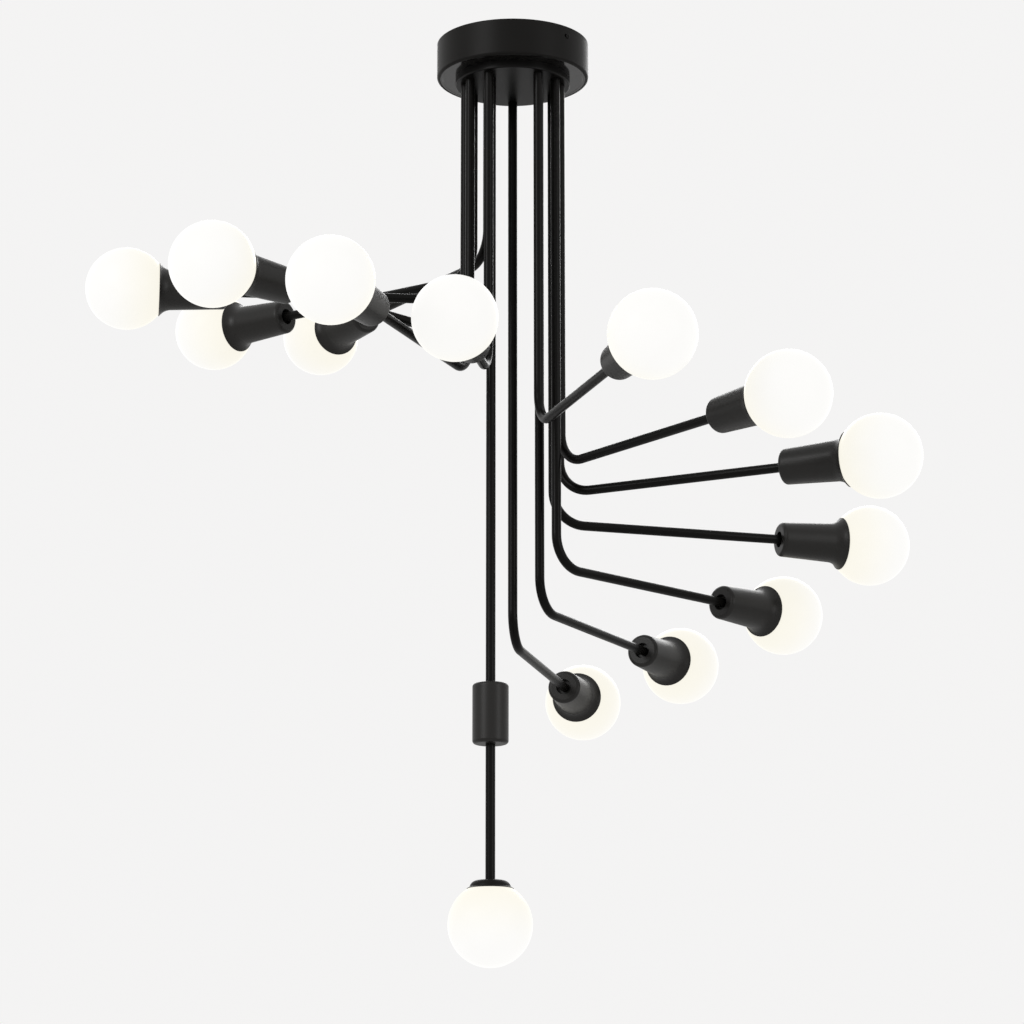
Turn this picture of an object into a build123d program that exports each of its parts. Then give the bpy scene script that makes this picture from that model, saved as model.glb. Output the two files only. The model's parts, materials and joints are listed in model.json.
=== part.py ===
"""Spiral pendant chandelier: thirteen bent arms and one straight drop under a round ceiling canopy.

Millimetres. The origin is the middle of the canopy's top, on the ceiling, and everything hangs
below it, so every height is a depth under the ceiling. The viewer stands on the -Y side.
"""

from build123d import *
from math import cos, hypot, pi, radians, sin, sqrt
import os

os.makedirs("parts", exist_ok=True)

# ---- tubes and threads ----------------------------------------------------------------------
TUBE_R = 5.5  # outside of every arm and of the drop
NIPPLE_R = 4.0  # M8 x 1 hollow nipple that joins each tube end to what holds it
NIPPLE_BORE_R = 2.8
THREAD_FIT = 0.1  # radial play of the nipple in tubes and holes
NIPPLE_GRIP = 12.0  # length of nipple inside a tube
TUBE_BORE_R = NIPPLE_R + THREAD_FIT
SEAT_FIT = 0.15  # radial play of a tube end in the recess it stands in
NIPPLE_PROUD = 3.0  # thread standing out of the nuts
NIPPLE_SHORT = 1.0  # it stops this far short of a lampholder's contact
NUT_FLATS = 13.0
NUT_HEIGHT = 3.0
WASHER_R = 8.0
WASHER_HEIGHT = 1.0
BEND_R = 38.0  # centre line of each arm's bend

# ---- canopy ---------------------------------------------------------------------------------
CANOPY_R = 89.5
CANOPY_DEPTH = 43.0
CANOPY_WALL = 1.2
CANOPY_CORNER_R = 3.0
LIP_WIDTH = 3.5  # turned-in lip under the canopy that the plate lies on
PLATE_PLAY = 0.3  # between the plate and the lip's edge
PLATE_BAND = 2.8  # width of the rim band round the plate
PLATE_BAND_DROP = 0.3  # how far the band stands below the plate's face
PLATE_RECESS = 0.6  # how far the plate's face lies inside the lip's face
FLANGE_HEIGHT = 1.8
BOSS_RIM = 6.0  # from the outer side of the stems to the boss's edge
BOSS_DROP = 8.5  # how far the stem boss stands below the canopy's lip
BOSS_EDGE_R = 1.5
STEM_SEAT = 4.0  # depth of the recess that takes each tube

# ---- ceiling bracket ------------------------------------------------------------------------
BRACKET_TURN = -46.0  # side screws show at this bearing, and opposite
BRACKET_WIDTH = 25.0
BRACKET_SHEET = 2.5
BRACKET_BEND_R = 3.0
BRACKET_PLAY = 0.3  # between an ear's corners and the canopy's wall
EAR_DEPTH = 20.0
CEILING_HOLES = 88.0  # centre distance of the two ceiling screw holes
CEILING_HOLE_R = 2.75
SIDE_SCREW_DEPTH = 11.5
SIDE_SCREW_R = 2.0
SIDE_SCREW_FIT = 0.1
SIDE_SCREW_HEAD_R = 3.0
SIDE_SCREW_HEAD = 1.2
SIDE_SCREW_PROUD = 3.0  # thread standing out inside the ear
BLOCK_LENGTH = 34.0
BLOCK_WIDTH = 18.0
BLOCK_HEIGHT = 14.0
BLOCK_CORNER_R = 1.5
BLOCK_POLES = 3
POLE_SCREW_R = 2.2
POLE_SCREW_DEPTH = 7.0
POLE_WIRE_R = 1.8
POLE_WIRE_DEPTH = 5.6  # wire holes' axes below the strap

# ---- lamps on the arms: distances run from the globe's centre back towards the arm -----------
GLOBE_R = 47.5
GLASS_WALL = 1.0
SHOULDER_R = 24.0  # the ball has shrunk to this where it starts to blend into the neck
BLEND_LENGTH = 8.6
NECK_FLARE = 4.4  # the neck is this much wider at the blend than in the screw cap
NECK_LENGTH = 22.0  # from the shoulder to the screw cap's edge
NECK_GRIP = 4.0  # length of neck inside the screw cap
CEMENT = 0.1
SCREW_CAP_R = 13.1
SCREW_CAP_WALL = 0.4
SCREW_CAP_LENGTH = 21.0
INSULATOR_LENGTH = 4.0
INSULATOR_R = 7.0
TIP_LENGTH = 1.5
TIP_R = 4.5
TIP_EDGE = 1.0
BULB_PLAY = 0.3  # between the bulb's tip and the contact under it
CAP_PLAY = 0.35  # between the screw cap and the threaded shell
SHELL_WALL = 0.5
SHELL_INSET = 1.0  # the shell starts this far inside the holder's mouth
HOLDER_LIP = 3.0  # the holder's mouth stands this far ahead of the screw cap's edge
HOLDER_WALL = 2.55
HOLDER_BASE = 10.1
CONTACT_R = 8.0
CONTACT_NOSE_R = 3.0
CONTACT_THICK = 2.5
HOLDER_PLAY = 2.05  # air between the holder and the cup
CUP_WALL = 1.5
CUP_FLOOR = 2.5
CUP_TAPER = 3.1  # the cup widens by this from its rear to the flare
CUP_FLARE = 7.8  # and by this over the flare
CUP_FLARE_LENGTH = 14.0
CUP_LIP = 0.6
CUP_GLOBE_PLAY = 0.55  # between the flare's rim and the globe
CUP_CORNER_R = 4.5
CUP_RECESS_DEPTH = 7.5
CUP_RECESS_PLAY = 4.0  # dark ring round the tube in the cup's rear face
CUP_RECESS_WALL = 2.0

# ---- arms ------------------------------------------------------------------------------------
# Every arm: where its stem stands on the ring (bearing), which way its level run points
# (bearing), how deep that run lies below the ceiling, and how far its globe's centre is from
# the stem. Bearings are degrees from +X.
STEM_RING_R = 56.0
ARM_REACH = 395.0
SHORT_REACH = 223.0  # one arm is bent nearer to its lamp
ARMS = (
    (122, 123, 251, ARM_REACH),
    (147, 145, 278, ARM_REACH),
    (167, 187, 311, ARM_REACH),
    (187, 227, 362, ARM_REACH),
    (207, 249, 410, ARM_REACH),
    (240, 261, 415, SHORT_REACH),
    (302, 287, 478, ARM_REACH),
    (354, 307, 514, ARM_REACH),
    (14, 333, 543, ARM_REACH),
    (33, 17, 575, ARM_REACH),
    (333, 45, 638, ARM_REACH),
    (56, 63, 673, ARM_REACH),
    (90, 77, 712, ARM_REACH),
)

# ---- straight drop with its own glass globe --------------------------------------------------
DROP_X = -25.0
DROP_Y = -30.0
DROP_GLOBE_DEPTH = 1046.0  # globe's centre below the ceiling
ROD_SHOWN = 153.2  # rod between the coupling and the dome cap
COUPLING_R = 20.5
COUPLING_LENGTH = 69.0
COUPLING_EDGE_R = 4.0
COUPLING_SEAT = 15.0
COUPLING_WIRE_R = 3.5
DOME_R = 26.3
DOME_TOP_R = 15.0
DOME_SIDE_R = 23.0
DOME_WALL = 2.0
DOME_CROWN_DROP = 0.5
DOME_SKIRT = 2.6  # height of the flared edge
DOME_EDGE_WALL = 0.4
SHADE_WALL = 2.0
SHADE_NECK_R = 17.0
SHADE_NECK_RISE = 3.5
SHADE_PLAY = 0.3
PIN_HOLDER_R = 10.0
PIN_HOLDER_LENGTH = 15.0
PIN_SPACING = 9.0
PIN_R = 0.6
PIN_LENGTH = 6.0
PIN_HOLE_SPARE = 1.0
HOLDER_NIPPLE_GRIP = 5.0  # length of nipple inside the pin holder
PIN_LAMP_PLAY = 0.3
CAPSULE_R = 8.0
CAPSULE_LENGTH = 42.0
CAPSULE_TIP_R = 6.5

# ---- sizes worked out from those above -------------------------------------------------------
UP = Vector(0, 0, 1)
LIP_TOP = -CANOPY_DEPTH + CANOPY_WALL
PLATE_TOP = LIP_TOP + FLANGE_HEIGHT
PLATE_FACE = -CANOPY_DEPTH + PLATE_RECESS
BOSS_R = STEM_RING_R + TUBE_R + BOSS_RIM
BOSS_FACE = -CANOPY_DEPTH - BOSS_DROP
STEM_TOP = BOSS_FACE + STEM_SEAT
NIPPLE_TOP = PLATE_TOP + WASHER_HEIGHT + NUT_HEIGHT + NIPPLE_PROUD

SHOULDER_AT = sqrt(GLOBE_R**2 - SHOULDER_R**2)
SCREW_CAP_START = SHOULDER_AT + NECK_LENGTH
SCREW_CAP_END = SCREW_CAP_START + SCREW_CAP_LENGTH
INSULATOR_END = SCREW_CAP_END + INSULATOR_LENGTH
LAMP_END = INSULATOR_END + TIP_LENGTH
NECK_END = SCREW_CAP_START + NECK_GRIP
NECK_END_R = SCREW_CAP_R - SCREW_CAP_WALL - CEMENT
SHELL_IN_R = SCREW_CAP_R + CAP_PLAY
SHELL_OUT_R = SHELL_IN_R + SHELL_WALL
HOLDER_R = SHELL_OUT_R + HOLDER_WALL
HOLDER_MOUTH = SCREW_CAP_START - HOLDER_LIP
CONTACT_FACE = LAMP_END + BULB_PLAY
CONTACT_BACK = CONTACT_FACE + CONTACT_THICK
HOLDER_END = CONTACT_BACK + HOLDER_BASE
CUP_REAR_R = HOLDER_R + HOLDER_PLAY + CUP_WALL
CUP_NECK_R = CUP_REAR_R + CUP_TAPER
CUP_FLARE_R = CUP_NECK_R + CUP_FLARE
CUP_RIM_R = CUP_FLARE_R - CUP_WALL / 2
CUP_START = sqrt((GLOBE_R + CUP_GLOBE_PLAY) ** 2 - CUP_RIM_R**2)
CUP_NECK_AT = CUP_START + CUP_FLARE_LENGTH
CUP_RECESS_R = TUBE_R + CUP_RECESS_PLAY
TUBE_END = HOLDER_END + NUT_HEIGHT + CUP_FLOOR  # where an arm's tube stops
CUP_END = TUBE_END + CUP_RECESS_DEPTH

SHADE_TOP = GLOBE_R + SHADE_PLAY + DOME_WALL  # top of the dome above the globe's centre
COUPLING_END = DROP_GLOBE_DEPTH - SHADE_TOP - ROD_SHOWN
COUPLING_TOP = COUPLING_END - COUPLING_LENGTH


def bearing(degrees):
    """Level unit vector at a bearing from +X."""
    return Vector(cos(radians(degrees)), sin(radians(degrees)), 0)


def lamp_plane(seat, turn, depth, reach):
    """Plane through an arm lamp's axis: x runs from the globe's centre back to the arm, y is up."""
    back = bearing(turn) * -1
    centre = bearing(seat) * STEM_RING_R + bearing(turn) * reach - UP * depth
    return Plane(origin=centre, x_dir=back, z_dir=back.cross(UP))


def save(built, name):
    """Write one finished node."""
    built.part.label = name
    export_step(built.part, f"parts/{name}.step")


LAMP_PLANES = [lamp_plane(*arm) for arm in ARMS]
STEM_FEET = [bearing(seat) * STEM_RING_R for seat, *rest in ARMS]
DROP_FOOT = Vector(DROP_X, DROP_Y, 0)
ALL_FEET = STEM_FEET + [DROP_FOOT]
DROP_PLANE = Plane(
    origin=DROP_FOOT - UP * DROP_GLOBE_DEPTH, x_dir=(0, 0, 1), z_dir=(0, -1, 0)
)
BRACKET_DIR = bearing(BRACKET_TURN)
BRACKET_SIDE = Plane(origin=(0, 0, 0), x_dir=BRACKET_DIR, z_dir=BRACKET_DIR.cross(UP))
BRACKET_FLAT = Plane(origin=(0, 0, 0), x_dir=BRACKET_DIR, z_dir=(0, 0, 1))


# ---- canopy ---------------------------------------------------------------------------------
# A spun cup, open to the ceiling, with a narrow lip turned in under it.
INSIDE_R = CANOPY_R - CANOPY_WALL
LIP_R = CANOPY_R - LIP_WIDTH
with BuildPart() as canopy_cup:
    with BuildSketch(Plane.XZ):
        with BuildLine():
            Polyline(
                (INSIDE_R, 0),
                (CANOPY_R, 0),
                (CANOPY_R, -CANOPY_DEPTH),
                (LIP_R, -CANOPY_DEPTH),
                (LIP_R, LIP_TOP),
                (INSIDE_R, LIP_TOP),
                close=True,
            )
        make_face()
    revolve(axis=Axis.Z)
    corner = canopy_cup.edges().filter_by(GeomType.CIRCLE).sort_by(SortBy.RADIUS)[-2:]
    fillet(corner.sort_by(Axis.Z)[0], radius=CANOPY_CORNER_R)
    for side in (1, -1):
        with BuildSketch(
            Plane(origin=(0, 0, -SIDE_SCREW_DEPTH), z_dir=BRACKET_DIR * side)
        ):
            Circle(SIDE_SCREW_R + SIDE_SCREW_FIT)
        extrude(amount=CANOPY_R, mode=Mode.SUBTRACT)
save(canopy_cup, "canopy_cup")

# The plate lies on the lip: a flange rests inside, and its face shows with a narrow rim band.
PLATE_R = LIP_R - PLATE_PLAY
FLANGE_R = INSIDE_R - PLATE_PLAY
BAND_R = PLATE_R - PLATE_BAND
BAND_FACE = PLATE_FACE - PLATE_BAND_DROP
with BuildPart() as canopy_plate:
    with BuildSketch(Plane.XZ):
        with BuildLine():
            Polyline(
                (0, PLATE_TOP),
                (FLANGE_R, PLATE_TOP),
                (FLANGE_R, LIP_TOP),
                (PLATE_R, LIP_TOP),
                (PLATE_R, BAND_FACE),
                (BAND_R, BAND_FACE),
                (BAND_R - PLATE_BAND_DROP, PLATE_FACE),
                (0, PLATE_FACE),
                close=True,
            )
        make_face()
    revolve(axis=Axis.Z)
    with BuildSketch(Plane.XY.offset(PLATE_TOP)):
        with Locations(*ALL_FEET):
            Circle(NIPPLE_R + THREAD_FIT)
    extrude(amount=PLATE_FACE - PLATE_TOP, mode=Mode.SUBTRACT)
save(canopy_plate, "canopy_plate")

# The boss under the plate carries all the stems, each in its own recess.
with BuildPart() as stem_boss:
    with BuildSketch(Plane.XY.offset(BOSS_FACE)):
        Circle(BOSS_R)
    extrude(amount=PLATE_FACE - BOSS_FACE)
    fillet(stem_boss.edges().group_by(Axis.Z)[0], radius=BOSS_EDGE_R)
    with BuildSketch(Plane.XY.offset(BOSS_FACE)):
        with Locations(*ALL_FEET):
            Circle(TUBE_R + SEAT_FIT)
    extrude(amount=STEM_SEAT, mode=Mode.SUBTRACT)
    with BuildSketch(Plane.XY.offset(STEM_TOP)):
        with Locations(*ALL_FEET):
            Circle(NIPPLE_R + THREAD_FIT)
    extrude(amount=PLATE_FACE - STEM_TOP, mode=Mode.SUBTRACT)
save(stem_boss, "stem_boss")

# A strap with two ears turned down; the side screws go through the cup's wall into the ears.
EAR_FACE = sqrt((INSIDE_R - BRACKET_PLAY) ** 2 - (BRACKET_WIDTH / 2) ** 2)
with BuildPart() as ceiling_bracket:
    with BuildSketch(BRACKET_SIDE):
        with BuildLine():
            Polyline(
                (-EAR_FACE, -EAR_DEPTH),
                (-EAR_FACE, 0),
                (EAR_FACE, 0),
                (EAR_FACE, -EAR_DEPTH),
                (EAR_FACE - BRACKET_SHEET, -EAR_DEPTH),
                (EAR_FACE - BRACKET_SHEET, -BRACKET_SHEET),
                (BRACKET_SHEET - EAR_FACE, -BRACKET_SHEET),
                (BRACKET_SHEET - EAR_FACE, -EAR_DEPTH),
                close=True,
            )
        make_face()
    extrude(amount=BRACKET_WIDTH / 2, both=True)
    bends = ceiling_bracket.edges().filter_by(lambda edge: abs(edge.length - BRACKET_WIDTH) < 1e-6)
    outer_bends = bends.group_by(Axis.Z)[-1]
    fillet(outer_bends, radius=BRACKET_BEND_R)
    with BuildSketch(BRACKET_FLAT):
        with GridLocations(CEILING_HOLES, 0, 2, 1):
            Circle(CEILING_HOLE_R)
    extrude(amount=-BRACKET_SHEET, mode=Mode.SUBTRACT)
    with BuildSketch(Plane(origin=-UP * SIDE_SCREW_DEPTH, z_dir=BRACKET_DIR)):
        Circle(SIDE_SCREW_R + SIDE_SCREW_FIT)
    extrude(amount=EAR_FACE, both=True, mode=Mode.SUBTRACT)
save(ceiling_bracket, "ceiling_bracket")

# Two pan-head screws: the heads press on the outside of the cup.
with BuildPart() as canopy_screws:
    for side in (1, -1):
        with BuildSketch(
            Plane(
                origin=BRACKET_DIR * (side * CANOPY_R) - UP * SIDE_SCREW_DEPTH,
                z_dir=BRACKET_DIR * side,
            )
        ) as head:
            Circle(SIDE_SCREW_HEAD_R)
        extrude(amount=SIDE_SCREW_HEAD)
        with BuildSketch(head.workplanes[0]):
            Circle(SIDE_SCREW_R)
        extrude(amount=EAR_FACE - BRACKET_SHEET - SIDE_SCREW_PROUD - CANOPY_R)
save(canopy_screws, "canopy_screws")

# A block with a row of poles hangs under the strap for the mains connection: screws reach the
# poles from below, and wires go in from both sides.
POLE_PITCH = BLOCK_LENGTH / BLOCK_POLES
BLOCK_TOP = BRACKET_FLAT.offset(-BRACKET_SHEET)
with BuildPart() as terminal_block:
    with BuildSketch(BLOCK_TOP):
        RectangleRounded(BLOCK_LENGTH, BLOCK_WIDTH, radius=BLOCK_CORNER_R)
    extrude(amount=-BLOCK_HEIGHT)
    with BuildSketch(BLOCK_TOP.offset(-BLOCK_HEIGHT)):
        with GridLocations(POLE_PITCH, BLOCK_WIDTH / 2, BLOCK_POLES, 2):
            Circle(POLE_SCREW_R)
    extrude(amount=POLE_SCREW_DEPTH, mode=Mode.SUBTRACT)
    with BuildSketch(BRACKET_SIDE.offset(BLOCK_WIDTH / 2)):
        with Locations((0, -BRACKET_SHEET - POLE_WIRE_DEPTH)):
            with GridLocations(POLE_PITCH, 0, BLOCK_POLES, 1):
                Circle(POLE_WIRE_R)
    extrude(amount=-BLOCK_WIDTH, mode=Mode.SUBTRACT)
save(terminal_block, "terminal_block")


# ---- arms -----------------------------------------------------------------------------------
# Each arm is one tube: straight down from the boss, one bend, then a level run to the cup.
for number, (seat, turn, depth, reach) in enumerate(ARMS, start=1):
    foot = bearing(seat) * STEM_RING_R
    with BuildPart() as arm:
        with BuildLine():
            route = FilletPolyline(
                foot + UP * STEM_TOP,
                foot - UP * depth,
                foot - UP * depth + bearing(turn) * (reach - TUBE_END),
                radius=BEND_R,
            )
        with BuildSketch(Plane(origin=route @ 0, z_dir=route % 0)):
            Circle(TUBE_R)
            Circle(TUBE_BORE_R, mode=Mode.SUBTRACT)
        sweep()
    length = sum(edge.length for edge in route.edges())
    share = arm.part.volume / (pi * (TUBE_R**2 - TUBE_BORE_R**2) * length)
    print(f"arm {number}: tube {length:.0f} mm, volume over section times length {share:.4f}")
    save(arm, f"arm_{number:02d}")


# ---- lamp sockets on the arms ----------------------------------------------------------------
# The cup: a turned shell with a recess for the tube, a taper, and a flare that meets the globe.
RECESS_WALL_R = CUP_RECESS_R + CUP_RECESS_WALL
with BuildPart() as socket_cups:
    for plane in LAMP_PLANES:
        with BuildSketch(plane):
            with BuildLine():
                body = Line((CUP_END, CUP_REAR_R), (CUP_NECK_AT, CUP_NECK_R))
                rim = (CUP_START + CUP_LIP, CUP_FLARE_R)
                TangentArc(body @ 1, rim, tangent=body % 1)
                Line(rim, (CUP_START, CUP_RIM_R))
                inner_neck = (CUP_NECK_AT, CUP_NECK_R - CUP_WALL)
                TangentArc(inner_neck, (CUP_START, CUP_RIM_R), tangent=body % 1)
                Polyline(
                    inner_neck,
                    (CUP_END - CUP_FLOOR, CUP_REAR_R - CUP_WALL),
                    (CUP_END - CUP_FLOOR, RECESS_WALL_R),
                    (TUBE_END - CUP_FLOOR, RECESS_WALL_R),
                    (TUBE_END - CUP_FLOOR, NIPPLE_R + THREAD_FIT),
                    (TUBE_END, NIPPLE_R + THREAD_FIT),
                    (TUBE_END, CUP_RECESS_R),
                    (CUP_END, CUP_RECESS_R),
                    (CUP_END, CUP_REAR_R),
                )
            make_face()
        revolve(axis=Axis(plane.origin, plane.x_dir))
    rear_rims = [
        edge
        for edge in socket_cups.edges().filter_by(GeomType.CIRCLE)
        if abs(edge.radius - CUP_REAR_R) < 1e-6
    ]
    fillet(rear_rims, radius=CUP_CORNER_R)
save(socket_cups, "socket_cups")

# Moulded lampholders stand on the lock nuts inside the cups.
with BuildPart() as lampholders:
    for plane in LAMP_PLANES:
        with BuildSketch(plane):
            with BuildLine():
                Polyline(
                    (HOLDER_MOUTH, SHELL_OUT_R),
                    (HOLDER_MOUTH, HOLDER_R),
                    (HOLDER_END, HOLDER_R),
                    (HOLDER_END, NIPPLE_R + THREAD_FIT),
                    (CONTACT_BACK, NIPPLE_R + THREAD_FIT),
                    (CONTACT_BACK, SHELL_OUT_R),
                    close=True,
                )
            make_face()
        revolve(axis=Axis(plane.origin, plane.x_dir))
save(lampholders, "lampholders")

with BuildPart() as screw_shells:
    for plane in LAMP_PLANES:
        with BuildSketch(plane):
            with BuildLine():
                Polyline(
                    (HOLDER_MOUTH + SHELL_INSET, SHELL_IN_R),
                    (HOLDER_MOUTH + SHELL_INSET, SHELL_OUT_R),
                    (INSULATOR_END, SHELL_OUT_R),
                    (INSULATOR_END, SHELL_IN_R),
                    close=True,
                )
            make_face()
        revolve(axis=Axis(plane.origin, plane.x_dir))
save(screw_shells, "screw_shells")

# A sprung contact, nosed towards the bulb's tip, lies on the holder's base.
CONTACT_BASE = (CONTACT_FACE + CONTACT_BACK) / 2
with BuildPart() as centre_contacts:
    for plane in LAMP_PLANES:
        with BuildSketch(plane):
            with BuildLine():
                Polyline(
                    (CONTACT_FACE, 0),
                    (CONTACT_FACE, CONTACT_NOSE_R),
                    (CONTACT_BASE, NIPPLE_R),
                    (CONTACT_BASE, CONTACT_R),
                    (CONTACT_BACK, CONTACT_R),
                    (CONTACT_BACK, 0),
                    close=True,
                )
            make_face()
        revolve(axis=Axis(plane.origin, plane.x_dir))
save(centre_contacts, "centre_contacts")


# ---- bulbs on the arms -----------------------------------------------------------------------
# Opal glass blown to a globe that runs into a neck; the neck is cemented in the screw cap.
INNER_GLOBE_R = GLOBE_R - GLASS_WALL
SHOULDER = Vector(SHOULDER_AT, SHOULDER_R)
INNER_SHOULDER = SHOULDER * (INNER_GLOBE_R / GLOBE_R)
for number, plane in enumerate(LAMP_PLANES, start=1):
    with BuildPart() as globe:
        with BuildSketch(plane):
            with BuildLine():
                ball = ThreePointArc((-GLOBE_R, 0), (0, GLOBE_R), SHOULDER)
                waist = (SHOULDER_AT + BLEND_LENGTH, NECK_END_R + NECK_FLARE)
                TangentArc(SHOULDER, waist, tangent=ball % 1)
                neck = Line(waist, (SCREW_CAP_START, NECK_END_R))
                inward = (neck % 1).rotate(Axis.Z, -90) * GLASS_WALL
                Polyline(
                    neck @ 1,
                    (NECK_END, NECK_END_R),
                    (NECK_END, NECK_END_R - GLASS_WALL),
                    (SCREW_CAP_START, NECK_END_R - GLASS_WALL),
                    neck @ 0 + inward,
                )
                TangentArc(INNER_SHOULDER, neck @ 0 + inward, tangent=ball % 1)
                ThreePointArc(INNER_SHOULDER, (0, INNER_GLOBE_R), (-INNER_GLOBE_R, 0))
                Line((-INNER_GLOBE_R, 0), (-GLOBE_R, 0))
            make_face()
        revolve(axis=Axis(plane.origin, plane.x_dir))
    save(globe, f"globe_{number:02d}")

    with BuildPart() as screw_cap:
        with BuildSketch(plane):
            with BuildLine():
                Polyline(
                    (SCREW_CAP_START, SCREW_CAP_R - SCREW_CAP_WALL),
                    (SCREW_CAP_START, SCREW_CAP_R),
                    (SCREW_CAP_END, SCREW_CAP_R),
                    (INSULATOR_END, INSULATOR_R),
                    (INSULATOR_END, TIP_R),
                    (LAMP_END, TIP_R - TIP_EDGE),
                    (LAMP_END, 0),
                    (NECK_END + CEMENT, 0),
                    (NECK_END + CEMENT, SCREW_CAP_R - SCREW_CAP_WALL),
                    close=True,
                )
            make_face()
        revolve(axis=Axis(plane.origin, plane.x_dir))
    save(screw_cap, f"screw_cap_{number:02d}")


# ---- straight drop ---------------------------------------------------------------------------
def drop_tube(top, bottom):
    """Straight length of tube on the drop's axis between two depths below the ceiling."""
    with BuildPart() as tube:
        with BuildSketch(Plane(origin=DROP_FOOT - UP * bottom)):
            Circle(TUBE_R)
            Circle(TUBE_BORE_R, mode=Mode.SUBTRACT)
        extrude(amount=bottom - top)
    return tube


save(drop_tube(-STEM_TOP, COUPLING_TOP + COUPLING_SEAT), "drop_stem")
save(drop_tube(COUPLING_END - COUPLING_SEAT, DROP_GLOBE_DEPTH - SHADE_TOP), "drop_rod")

# The coupling joins the two lengths; each end takes a tube, and a smaller hole lets wires pass.
with BuildPart() as stem_coupling:
    with BuildSketch(Plane(origin=DROP_FOOT - UP * COUPLING_END)):
        Circle(COUPLING_R)
    extrude(amount=COUPLING_LENGTH)
    ends = stem_coupling.edges().filter_by(GeomType.CIRCLE)
    fillet(ends, radius=COUPLING_EDGE_R)
    with BuildSketch(Plane(origin=DROP_FOOT - UP * COUPLING_END)):
        Circle(COUPLING_WIRE_R)
    extrude(amount=COUPLING_LENGTH, mode=Mode.SUBTRACT)
    for depth in (COUPLING_END, COUPLING_TOP + COUPLING_SEAT):
        with BuildSketch(Plane(origin=DROP_FOOT - UP * depth)):
            Circle(TUBE_R + SEAT_FIT)
        extrude(amount=COUPLING_SEAT, mode=Mode.SUBTRACT)
save(stem_coupling, "stem_coupling")

# The dome cap sits on the globe like a saucer, with a thin flared edge.
DOME_UNDER_R = GLOBE_R + SHADE_PLAY
NECK_PLAY_R = SHADE_NECK_R + SHADE_PLAY
NECK_TOP = sqrt(GLOBE_R**2 - SHADE_NECK_R**2) + SHADE_NECK_RISE
NECK_CEILING = NECK_TOP + SHADE_PLAY
DOME_EDGE = sqrt(DOME_UNDER_R**2 - DOME_R**2)
DOME_NECK = sqrt(DOME_UNDER_R**2 - NECK_PLAY_R**2)
with BuildPart() as dome_cap:
    with BuildSketch(DROP_PLANE):
        with BuildLine():
            crown = (SHADE_TOP - DOME_CROWN_DROP, DOME_TOP_R)
            top = Line((SHADE_TOP, NIPPLE_R + THREAD_FIT), crown)
            skirt = (DOME_EDGE + DOME_SKIRT, DOME_SIDE_R)
            TangentArc(crown, skirt, tangent=top % 1)
            Polyline(skirt, (DOME_EDGE + DOME_EDGE_WALL, DOME_R), (DOME_EDGE, DOME_R))
            middle_r = (DOME_R + NECK_PLAY_R) / 2
            ThreePointArc(
                (DOME_EDGE, DOME_R),
                (sqrt(DOME_UNDER_R**2 - middle_r**2), middle_r),
                (DOME_NECK, NECK_PLAY_R),
            )
            Polyline(
                (DOME_NECK, NECK_PLAY_R),
                (NECK_CEILING, NECK_PLAY_R),
                (NECK_CEILING, NIPPLE_R + THREAD_FIT),
                (SHADE_TOP, NIPPLE_R + THREAD_FIT),
            )
        make_face()
    revolve(axis=Axis(DROP_PLANE.origin, DROP_PLANE.x_dir))
save(dome_cap, "dome_cap")

# The drop's globe is a blown shade with a short neck that screws up into the dome cap.
NECK_ROOT = sqrt(GLOBE_R**2 - SHADE_NECK_R**2)
SHADE_IN_R = GLOBE_R - SHADE_WALL
BORE_R = SHADE_NECK_R - SHADE_WALL
with BuildPart() as drop_globe:
    with BuildSketch(DROP_PLANE):
        with BuildLine():
            ThreePointArc((-GLOBE_R, 0), (0, GLOBE_R), (NECK_ROOT, SHADE_NECK_R))
            Polyline(
                (NECK_ROOT, SHADE_NECK_R),
                (NECK_TOP, SHADE_NECK_R),
                (NECK_TOP, BORE_R),
                (sqrt(SHADE_IN_R**2 - BORE_R**2), BORE_R),
            )
            ThreePointArc(
                (sqrt(SHADE_IN_R**2 - BORE_R**2), BORE_R), (0, SHADE_IN_R), (-SHADE_IN_R, 0)
            )
            Line((-SHADE_IN_R, 0), (-GLOBE_R, 0))
        make_face()
    revolve(axis=Axis(DROP_PLANE.origin, DROP_PLANE.x_dir))
save(drop_globe, "drop_globe")

# A ceramic pin holder hangs in the neck, and a capsule lamp pushes up into it.
HOLDER_FACE = NECK_CEILING - PIN_HOLDER_LENGTH
PIN_HOLES = [(PIN_SPACING / 2, 0), (-PIN_SPACING / 2, 0)]
HOLDER_PLANE = Plane(origin=DROP_PLANE.origin + UP * HOLDER_FACE)
with BuildPart() as pin_holder:
    with BuildSketch(HOLDER_PLANE):
        Circle(PIN_HOLDER_R)
    extrude(amount=PIN_HOLDER_LENGTH)
    with BuildSketch(HOLDER_PLANE):
        with Locations(*PIN_HOLES):
            Circle(PIN_R + THREAD_FIT)
    extrude(amount=PIN_LENGTH + PIN_HOLE_SPARE, mode=Mode.SUBTRACT)
    with BuildSketch(HOLDER_PLANE.offset(PIN_HOLDER_LENGTH)):
        Circle(NIPPLE_R + THREAD_FIT)
    extrude(amount=-HOLDER_NIPPLE_GRIP, mode=Mode.SUBTRACT)
save(pin_holder, "pin_holder")

with BuildPart() as capsule_lamp:
    with BuildSketch(HOLDER_PLANE.offset(-PIN_LAMP_PLAY)):
        Circle(CAPSULE_R)
    extrude(amount=-CAPSULE_LENGTH)
    fillet(capsule_lamp.edges().group_by(Axis.Z)[0], radius=CAPSULE_TIP_R)
    with BuildSketch(HOLDER_PLANE.offset(-PIN_LAMP_PLAY)):
        with Locations(*PIN_HOLES):
            Circle(PIN_R)
    extrude(amount=PIN_LENGTH)
save(capsule_lamp, "capsule_lamp")


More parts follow.
